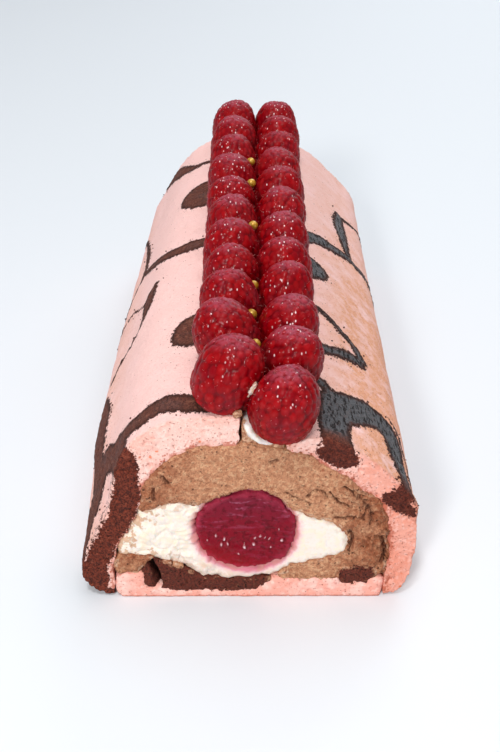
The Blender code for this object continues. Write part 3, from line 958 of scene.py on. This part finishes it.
def place_raspberry(pattern, node, name, turn, tilt, nudge, spread):
    """A copy of a raspberry in the place of its solid, nudged by these mm and spread a little."""
    low, high = (np.array(corner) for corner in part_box(node))
    berry = bpy.data.objects.new(name, pattern.data.copy())
    bpy.context.scene.collection.objects.link(berry)
    size = high - low
    points = points_of(berry) @ np.array(Matrix.Rotation(turn, 3, "Z")).T
    points *= size / np.array([2.0, 2.0, 1.6])
    points = points @ np.array(Euler(tilt).to_matrix()).T
    points *= size / (points.max(axis=0) - points.min(axis=0))
    points -= (points.max(axis=0) + points.min(axis=0)) / 2
    toward_light = points @ LIT_SIDE / np.linalg.norm(points, axis=1)
    points *= np.array(spread)
    points += (low + high) / 2 + (np.array(nudge) - np.array([0.0, 0.0, BERRY_SINK])) * MM
    set_points(berry, points)
    # lit marks the side turned to the lights, where glints are painted; top marks the upper back, where the
    # bloom also stands in for a painted sheen.
    height = (points[:, 2] + 0.25 * points[:, 1] - low[2] - 0.25 * low[1]) / size[2]
    set_attributes(berry, lit=eased(toward_light, 0.68, 0.93), top=eased(height, 0.92, 1.18))
    return berry


class YULE_OT_raspberries(bpy.types.Operator):
    """Models the raspberries of both rows."""

    bl_idname = "yule.raspberries"
    bl_label = "Raspberries"

    def execute(self, context):
        settings = context.scene.yule_fruit
        material = raspberry_skin(settings)
        patterns = [model_raspberry(f"raspberry_pattern_{i}", settings, BERRY_SEED + i) for i in range(3)]
        draw = random.Random(ROW_SEED)
        nodes = sorted(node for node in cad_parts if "raspberry_" in node and node[-1].isdigit())
        for i, node in enumerate(nodes):
            right = "right" in node
            lean = math.radians(10 if right else -2) + draw.uniform(-0.12, 0.12)
            tilt = (draw.uniform(-0.15, 0.25), lean, 0.0)
            usual = (tilt, (0.4 if right else 1.1, 0.0, 0.0), (1.0, 1.0, 1.0))
            lie = FIRST_BERRIES.get(node, usual)
            name = node.replace("raspberry_", "ripe_raspberry_")
            berry = place_raspberry(patterns[i % 3], node, name, draw.uniform(0, math.tau), *lie)
            add_hairs(berry, settings, i)
            dress(berry, material, "raspberry", node)
        for pattern in patterns:
            bpy.data.objects.remove(pattern)
        return {"FINISHED"}


class YULE_OT_pearls(bpy.types.Operator):
    """Models the gold sugar pearls."""

    bl_idname = "yule.pearls"
    bl_label = "Gold Pearls"

    def execute(self, context):
        material = gold_sugar(context.scene.yule_fruit)
        nodes = sorted(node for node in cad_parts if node.startswith("gold_pearl"))
        for i, node in enumerate(nodes):
            low, high = (Vector(corner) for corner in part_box(node))
            pearl = ball(5, (high.z - low.z) / 2, (low + high) / 2)
            pearl.name = f"sugar_pearl_{i + 1}"
            only(pearl)
            bpy.ops.object.transform_apply(location=True, rotation=True, scale=True)
            roughen(pearl, 1.6, 0.16)
            bpy.ops.object.shade_smooth()
            dress(pearl, material, "gold_sugar", node)
        return {"FINISHED"}


def printed_sponge(settings):
    """Pink sponge with chocolate batter baked into its skin, and the crumb of both where it is cut."""
    made = Finish("printed sponge", 0.72, 0.25)
    x, y, z = made.axes()
    cut, printed, skin, crust = (made.attribute(name) for name in ("cut", "printed", "skin", "crust"))
    ragged, fine, broad, patchy = made.grains((1.5, 4, 0.7), (0.5, 3, 0.6), (9, 3, 0.5), (3, 2, 0.5))
    inside = (cut + skin.rising(0.7, 1.4)).lower_of(1)
    chocolate = (printed + (ragged - 0.5) * 4.4 + (fine - 0.5) * 1.6).falling(-0.2, 0.2)
    flecks = made.dots(1, 0.14, 0.26) * made.grain(2.2, 2).rising(0.5, 0.58)
    stray = made.dots(2.1, 0.06, 0.12) * made.grain(4, 1).rising(0.44, 0.5)
    flecks = (flecks * printed.falling(0.6, 5)).higher_of(stray * 0.9)

    fading = y.falling(40 * MM, 200 * MM) * 0.7 + 0.3
    right = (x.rising(10 * MM, 36 * MM) * fading + (-x).rising(38 * MM, 50 * MM) * 0.35).lower_of(1)
    # Where the skin turns peach: weak random warm patches all over, and painted warm reflected light on the
    # right side that fades along the log.
    warm_tone_and_bounce = broad.rising(0.3, 0.56) * (0.06 + right * 0.74) + right * patchy.rising(0.38, 0.6) * 0.5
    toasted = made.dots(0.8, 0.12, 0.3) * patchy.rising(0.36, 0.54) * (0.42 + right * 0.58)
    pink_skin = made.layers(
        settings.pink,
        # Partly painted light: the peach stands in for warm light reflected onto the right side.
        (warm_tone_and_bounce.lower_of(1), settings.peach_and_bounce),
        # Painted shade: the skin darker and warmer low down, most towards the right.
        (z.falling(6 * MM, 44 * MM) * (x.rising(0, 20 * MM) * 0.4 + 0.05), 222, 150, 124),
        (made.grain(0.9, 3, 0.6).rising(0.5, 0.72) * 0.45, 255, 222, 212),
        (toasted * (0.5 + right * 0.35), 192, 104, 72),
        (flecks, 128, 66, 50),
    )

    # Pores are small dents in the crumb, painted darker as shade in them.
    shaded_pores = made.dots(0.9, 0.12, 0.3) * ragged.rising(0.42, 0.62)
    deep = (x.rising(20 * MM, 36 * MM) * 0.8 + broad.rising(0.42, 0.62) * 0.35).lower_of(1)
    specks = made.dots(3.4, 0.1, 0.2) * made.grain(6, 1).rising(0.5, 0.58)
    sparse = crust.falling(0.8, 4.6) * fine.rising(0.38, 0.5)
    baked = (crust - 0.7 + (ragged - 0.5) * 5).falling(0.1, 0.9) * (patchy.rising(0.4, 0.54) * 0.8 + 0.2)
    pink_cut = made.layers(
        settings.cut_pink,
        (deep, 232, 150, 128),
        (made.grain(1.4, 3, 0.6).rising(0.5, 0.62) * (0.5 - deep * 0.3), 255, 222, 212),
        # Painted shade in the pores.
        (shaded_pores * 0.5, 206, 118, 100),
        (specks * 0.8, 226, 112, 62),
        (flecks * 0.8, 120, 60, 46),
        (made.dots(1.2, 0.2, 0.36) * sparse * 0.9, 186, 92, 66),
        (baked * 0.8, settings.crust),
    )

    # smooth marks the print's smooth skin, right of the middle and away from the cut: it is glossier there,
    # and a grey sheen is painted on it.
    smooth = x.rising(2 * MM, 14 * MM) * y.rising(1.5 * MM, 7 * MM) + broad.rising(0.5, 0.7) * 0.2
    smooth = smooth.lower_of(1)
    inner = (printed + (ragged - 0.5) * 3).falling(-2.2, -0.6)
    streaks = made.grain(0.8, 3, 0.6, made.stretched(1, 0.28, 1)).rising(0.5, 0.6)
    sugar = made.dots(1.4, 0.04, 0.1) * made.grain(5, 1).rising(0.46, 0.56)
    brown_skin = made.layers(
        settings.chocolate,
        # Painted sheen: the smooth print turns grey, as if it reflected the bright sky.
        (smooth * inner, settings.sheen_grey),
        (fine.falling(0.36, 0.5) * 0.7, 46, 26, 20),
        (ragged.rising(0.52, 0.62) * (0.5 - smooth * 0.4), 150, 94, 74),
        (streaks * smooth, 30, 22, 22),
        (printed.rising(-2.4, -0.6) * (ragged.rising(0.38, 0.54) * 0.65 + 0.3), 52, 26, 21),
        (sugar * 0.7, 198, 176, 166),
    )
    brown_cut = made.layers(
        srgb(66, 28, 20),
        (fine.rising(0.34, 0.6), settings.cut_chocolate),
        (ragged.falling(0.36, 0.48) * 0.8, 52, 24, 20),
        (ragged.rising(0.54, 0.64) * 0.6, 146, 76, 56),
        (x.rising(0, 15 * MM) * 0.4, 70, 30, 24),
        # Painted shade: the pores almost black.
        (shaded_pores, 30, 12, 10),
    )

    pink = made.blend(inside, pink_skin, pink_cut)
    brown = made.blend(inside, brown_skin, brown_cut)
    on_skin_print = chocolate * (1 - inside)
    height = (ragged - 0.5) * 0.6 + fine * 0.45 - shaded_pores * inside * 0.8 - streaks * on_skin_print * 0.4
    height = height - toasted * (1 - inside) * 0.4
    return made.give(
        base_color=made.blend(chocolate, pink, brown),
        roughness=0.85 - on_skin_print * smooth * inner * (0.45 - streaks * 0.35),
        normal=made.bump(height, 0.7, 0.9),
    )


def plain_sponge(settings):
    """Pink sponge without a print, baked brown underneath."""
    made = Finish("plain sponge", 0.8, 0.35)
    z = made.axes()[2]
    ragged, fine = made.grains((1.3, 4, 0.7), (0.5, 3, 0.6))
    # Pores are small dents in the crumb, painted darker as shade in them.
    shaded_pores = made.dots(0.9, 0.12, 0.3) * ragged.rising(0.4, 0.62)
    crumbs = made.dots(1.4, 0.1, 0.22) * made.grain(3).rising(0.5, 0.58)
    stain = made.grain(4, 3, 0.6).rising(0.56, 0.66) * z.rising(3 * MM, 6 * MM)
    colour = made.layers(
        settings.cut_pink,
        (made.grain(6).rising(0.38, 0.56) * 0.7 + 0.15, 242, 162, 144),
        (made.grain(1.6, 3, 0.6).rising(0.52, 0.7) * 0.5, 255, 226, 214),
        # Painted shade in the pores.
        (shaded_pores * 0.5, 206, 118, 96),
        (crumbs * 0.8, 120, 58, 42),
        (stain * 0.6, 206, 104, 92),
        ((z + (ragged - 0.5) * 1.4 * MM).falling(0.1 * MM, 0.8 * MM) * 0.8, settings.crust),
    )
    normal = made.bump((ragged - 0.5) * 0.6 + fine * 0.4 - shaded_pores * 0.8, 0.4, 0.9)
    return made.give(base_color=colour, normal=normal)


def cocoa_sponge(settings):
    """Dark crumbly sponge."""
    made = Finish("cocoa sponge", 0.85, 0.25)
    ragged, fine = made.grains((1.6, 4, 0.7), (0.45, 3, 0.6))
    # Pores are small dents in the crumb, painted darker as shade in them.
    shaded_pores = made.dots(1, 0.12, 0.34) * ragged.rising(0.42, 0.6)
    smear = (made.attribute("rim") + (ragged - 0.5) * 2.4).falling(0, 0.5)
    colour = made.layers(
        srgb(70, 34, 26),
        (fine.rising(0.36, 0.6), settings.cocoa),
        (ragged.rising(0.56, 0.68) * 0.6, 136, 84, 60),
        # Painted shade: the pores almost black.
        (shaded_pores, 26, 11, 9),
        (smear * made.grain(2.6).rising(0.5, 0.6) * 0.7, 188, 140, 108),
        # Painted shade: the crack nearly black inside.
        (made.attribute("crack").falling(-0.5, 0.2), 16, 6, 5),
    )
    normal = made.bump(ragged * 0.7 + fine * 0.5 - shaded_pores, 0.5, 1)
    return made.give(base_color=colour, normal=normal)


def chocolate_crumb():
    """Loose dark crumbs."""
    made = Finish("chocolate crumb", 0.85, 0.25)
    colour = made.blend(made.grain(0.4, 2).rising(0.35, 0.65), srgb(52, 26, 20), srgb(104, 58, 42))
    return made.give(base_color=colour, normal=made.bump(made.grain(0.3, 2), 0.2, 0.8))


def chocolate_mousse(settings):
    """Aerated mousse: fine grain, and small air holes and cracks with painted shade in them, drier and
    darker towards the sides.
    """
    made = Finish("chocolate mousse", 0.74, 0.3)
    x, _, z = made.axes()
    rim = made.attribute("rim")
    coarse, grain, fine = made.grains((4.5, 4, 0.6), (1.1, 4, 0.7), (0.45, 2, 0.5))
    # Bubbles and pinholes are dents, painted darker as shade in them.
    shaded_bubbles = made.dots(1.5, 0.12, 0.26) * made.grain(2.2, 2).rising(0.52, 0.6)
    shaded_pinholes = made.dots(0.7, 0.1, 0.24) * grain.rising(0.46, 0.6)
    dry = (x.rising(14 * MM, 34 * MM) + (-x).rising(14 * MM, 27 * MM) * 0.75).lower_of(1)
    dark = (dry * 0.68 + (coarse - 0.5) * 1.9).rising(0.05, 0.95)
    smear = (rim + (coarse - 0.5) * 3).falling(0, 0.6) * made.grain(2).rising(0.45, 0.6)
    # Where the cracks get painted shade.
    crack_shade = (made.attribute("crack") + (grain - 0.5) * 1.6).falling(-0.3, 0.3)
    rusty = (rim + (grain - 0.5) * 4).falling(0.3, 1.6) * made.dots(1.2, 0.2, 0.4)
    colour = made.layers(
        settings.mousse,
        (dark, settings.dark_mousse),
        (grain.rising(0.5, 0.62) * 0.6, made.blend(dark, srgb(230, 184, 144), srgb(178, 124, 90))),
        (grain.falling(0.36, 0.5) * 0.55, made.blend(dark, srgb(148, 94, 64), srgb(108, 60, 38))),
        (fine.falling(0.36, 0.47) * 0.4, made.blend(dark, srgb(132, 80, 54), srgb(92, 50, 32))),
        # Painted shade in the pinholes and bubbles.
        (shaded_pinholes * 0.55, 122, 72, 48),
        (shaded_bubbles * (0.35 + dry * 0.65), 84, 44, 30),
        (smear * z.falling(30 * MM, 42 * MM) * 0.45, 236, 210, 184),
        # Painted shade: the cracks darker inside.
        (crack_shade * 0.75, 78, 38, 24),
        (rusty * 0.6, 150, 78, 50),
    )
    height = grain * 0.8 + fine * 0.4 - shaded_bubbles * 0.9 - shaded_pinholes * 0.5 + coarse * dry * 0.8
    return made.give(base_color=colour, normal=made.bump(height, 0.9, 1))


def vanilla_cream(settings, insert):
    """Lumpy cream. The insert is stained by the jelly, and both kinds are smeared with mousse. The seam
    cream is greyed by painted shade.
    """
    name = "insert cream" if insert else "shaded seam cream"
    made = Finish(name, 0.42, 0.4, subsurface_weight=0.1, subsurface_scale=1.5 * MM)
    lumps, fine = made.grains((2.8, 3, 0.55), (0.9, 3, 0.6))
    colour = made.layers(
        settings.cream,
        (lumps.rising(0.46, 0.62) * 0.5, 248, 228, 196),
        (fine.falling(0.34, 0.46) * 0.3, 232, 208, 180),
    )
    if insert:
        x, _, z = made.axes()
        ring = made.from_jelly(x, z, 24, 13.8) + (lumps - 0.5) * 0.4
        left = (-x).rising(16 * MM, 34 * MM)
        smear = (made.attribute("rim") + (lumps - 0.5) * (10 + left * 20)).falling(0, 2)
        edge = (z + x * 0.12).falling(8 * MM, 14 * MM) * (lumps.rising(0.42, 0.6) * 0.5 + 0.15)
        colour = made.layers(
            colour,
            (ring.falling(1.02, 1.46) * 0.75, settings.stain),
            (ring.falling(1.02, 1.28) * 0.75, 206, 84, 112),
            (smear * (0.35 + left * 0.5), 200, 156, 120),
            (edge * ring.rising(1.1, 1.5), 206, 166, 148),
        )
    else:
        smear = made.attribute("smear") + (lumps - 0.5) * 1.8 + (fine - 0.5) * 1
        mousse = made.blend(fine.rising(0.4, 0.6), srgb(150, 98, 70), srgb(206, 162, 130))
        # Painted shade: the seam cream and its loose bits are greyed half way.
        colour = made.layers(colour, (0.5, 222, 220, 222), (smear.rising(-0.2, 0.5), mousse))
    return made.give(base_color=colour, normal=made.bump(lumps * 0.8 + fine * 0.2, 0.5, 0.5))


def raspberry_jelly(settings):
    """Wet set jelly: paler and streaked at its top, clear red below, with a painted red glow low down and
    painted highlights on its beads.
    """
    made = Finish("raspberry jelly", 0.3, 0.05, coat_weight=0.14, coat_roughness=0.04)
    x, _, z = made.axes()
    streak = made.grain(2.2, 4, 0.6, made.stretched(0.3, 1, 1.4))
    mottle, lumps = made.grains((1.5, 4, 0.65), (2.6, 2, 0.5))
    top = (z + (streak - 0.5) * 10 * MM).rising(23 * MM, 38 * MM)
    edge = (made.from_jelly(x, z, 24.7, 13.2) + (lumps - 0.5) * 0.5).rising(0.72, 1.05)
    colour = made.layers(
        settings.jelly,
        (top * 0.8, settings.pale_jelly),
        (streak.rising(0.56, 0.64) * top * 0.5, 176, 104, 130),
        (streak.rising(0.52, 0.6) * z.falling(32 * MM, 37 * MM) * 0.3, 146, 44, 70),
        (mottle.falling(0.38, 0.5) * 0.7, 84, 3, 18),
        # Painted glow: brighter red low down and to the left, where light shines through the jelly.
        ((z + x * 0.45 + (mottle - 0.5) * 12 * MM).falling(6 * MM, 18 * MM) * 0.8, 144, 6, 16),
        (edge * 0.3, 196, 66, 90),
        # Painted highlights on the wet beads.
        (made.attribute("sparkle") * 0.85, 248, 214, 220),
    )
    wet = (z + (mottle - 0.5) * 8 * MM).falling(20 * MM, 28 * MM)
    normal = made.bump(lumps * 0.7 + mottle * 0.35, 0.8, 0.6)
    return made.give(base_color=colour, roughness=0.42 - wet * 0.3, normal=normal)


def raspberry_skin(settings):
    """Ripe raspberry: wet red drupelets with painted shade between them, a dull bloom on top that is partly
    painted sheen, painted highlights and pale tips, and pale hairs.
    """
    made = Finish("raspberry skin", 0.45, 0.05, coat_roughness=0.09)
    crest = made.attribute("crest")
    tone = made.attribute("tone")
    mottle, patches = made.grains((1.1, 3, 0.6), (7, 3, 0.55))
    # Bloom, partly painted sheen: a dull pale bloom, mostly over each berry's upper back, where it also
    # stands in for the sky's sheen.
    bloom_and_sheen = (patches.rising(0.5, 0.62) * 0.08 + made.attribute("top")) * mottle.rising(0.3, 0.62)
    # Painted highlights: small pink glints on the crests, and white glints on the side that faces the
    # lights.
    small = made.dots(1.7, 0.07, 0.15, randomness=0.8) * crest.rising(0.5, 0.8)
    glints = made.dots(1.75, 0.1, 0.23, made.stretched(1.5, 1, 0.8))
    glints = glints * made.attribute("lit") * patches.rising(0.42, 0.52)
    hair = crest.rising(1.6, 2.4)
    colour = made.layers(
        # Painted shade: the valleys between drupelets stay a darker red, and the crests turn the brighter
        # red.
        settings.shaded_valley_red,
        (crest.rising(0.2, 0.85), settings.red),
        (tone.rising(0.4, 1) * 0.5, 116, 2, 20),
        (tone.falling(0, 0.3) * 0.4, 168, 7, 18),
        (bloom_and_sheen * 0.7, settings.bloom_and_sheen),
        # Pale spots at some drupelets' tips: partly their real pale style scars, partly painted highlights.
        (made.attribute("tip") * 0.3, 224, 84, 84),
        (small * 0.55, 236, 136, 144),
        (glints * 0.85, 255, 232, 234),
        (hair, 206, 132, 126),
    )
    coat = 0.15 - bloom_and_sheen.lower_of(1) * 0.06 - hair * 0.06
    return made.give(base_color=colour, coat_weight=coat, normal=made.bump(mottle, 0.1, 0.4))


def gold_sugar(settings):
    """Pearly gold, with pale yellow highlights painted in patches."""
    made = Finish("gold sugar", 0.3, metallic=0.3, coat_weight=0.3, coat_roughness=0.15)
    mottle = made.grain(0.9, 3, 0.5)
    # Painted highlights: pale yellow patches over the gold.
    colour = made.layers(settings.gold, (mottle.rising(0.4, 0.7) * 0.6, 250, 220, 110))
    return made.give(base_color=colour, normal=made.bump(mottle, 0.08, 0.5))


def soft_light(name, power, size, place, target, colour=(1, 1, 1)):
    """A round light of this width, turned to its target."""
    light = bpy.data.lights.new(name, "AREA")
    light.energy = power
    light.shape = "DISK"
    light.size = size
    light.color = colour
    made = bpy.data.objects.new(name, light)
    made.location = place
    made.rotation_euler = (Vector(target) - Vector(place)).to_track_quat("-Z", "Y").to_euler()
    bpy.context.scene.collection.objects.link(made)


class YULE_OT_stage(bpy.types.Operator):
    """Sets the floor, the lights and the camera."""

    bl_idname = "yule.stage"
    bl_label = "Stage"

    def execute(self, context):
        settings = context.scene.yule_stage
        bpy.ops.mesh.primitive_plane_add(size=12.0, location=(0.0, 0.0, -0.05 * MM))
        floor = context.object
        floor.name = "pale_floor"
        made = Finish("pale floor", 0.6)
        floor.data.materials.append(made.give(base_color=settings.floor))

        soft_light("key", settings.key, 0.18, (-0.3, -0.95, 0.6), (0, -0.05, 0.03), (1, 0.985, 0.96))
        soft_light("lamp", settings.lamp, 0.14, (-0.12, -0.5, 1.05), (0, -0.02, 0.05))
        soft_light("overhead", settings.overhead, 1.1, (0.15, 0.1, 1.3), (0, 0, 0.04))
        soft_light("back", settings.back, 0.8, (0.35, 0.95, 0.6), (0, 0, 0.04), (0.93, 0.97, 1))
        world = bpy.data.worlds.new("even sky")
        world.use_nodes = True
        background = world.node_tree.nodes["Background"]
        background.inputs["Color"].default_value = (0.93, 0.965, 1.0, 1.0)
        background.inputs["Strength"].default_value = settings.sky
        context.scene.world = world
        context.scene.view_settings.view_transform = "Standard"

        lens = bpy.data.cameras.new("front_left_lens")
        lens.lens = settings.lens
        lens.sensor_width = 36.0
        lens.clip_start = 0.01
        camera = bpy.data.objects.new("camera", lens)
        camera.location = (SECTION_X - 4.12 * MM, FRONT_Y - 245.8 * MM, 228.6 * MM)
        camera.rotation_euler = (math.radians(90 - 31.86), 0.0, math.radians(-0.24))
        context.scene.collection.objects.link(camera)
        context.scene.camera = camera
        return {"FINISHED"}


class YULE_PT_panel(bpy.types.Panel):
    """Lists the steps of the yule log's finish with their settings."""

    bl_label = "Yule Log"
    bl_idname = "YULE_PT_panel"
    bl_space_type = "VIEW_3D"
    bl_region_type = "UI"
    bl_category = "Yule Log"

    def draw(self, context):
        for group, (settings, *steps) in GROUPS.items():
            box = self.layout.box()
            for name in settings.__annotations__:
                box.prop(getattr(context.scene, group), name)
            for step in steps:
                box.operator(step.bl_idname)


# Each group of settings, with the steps that use it
GROUPS = {
    "yule_sponge": (YULE_PG_sponge, YULE_OT_jacket, YULE_OT_base),
    "yule_filling": (YULE_PG_filling, YULE_OT_mousse, YULE_OT_cream, YULE_OT_jelly),
    "yule_fruit": (YULE_PG_fruit, YULE_OT_raspberries, YULE_OT_pearls),
    "yule_stage": (YULE_PG_stage, YULE_OT_stage),
}
CLASSES = [cls for group in GROUPS.values() for cls in group] + [YULE_PT_panel]


def register():
    noise.seed_set(NOISE_SEED)
    for cls in CLASSES:
        bpy.utils.register_class(cls)
    for name, group in GROUPS.items():
        setattr(bpy.types.Scene, name, PointerProperty(type=group[0]))


def unregister():
    for name in GROUPS:
        delattr(bpy.types.Scene, name)
    for cls in reversed(CLASSES):
        bpy.utils.unregister_class(cls)


def main():
    register()
    bpy.ops.yule.jacket()
    bpy.ops.yule.base()
    bpy.ops.yule.mousse()
    bpy.ops.yule.cream()
    bpy.ops.yule.jelly()
    bpy.ops.yule.raspberries()
    bpy.ops.yule.pearls()
    bpy.ops.yule.stage()


if __name__ == "__main__":
    main()
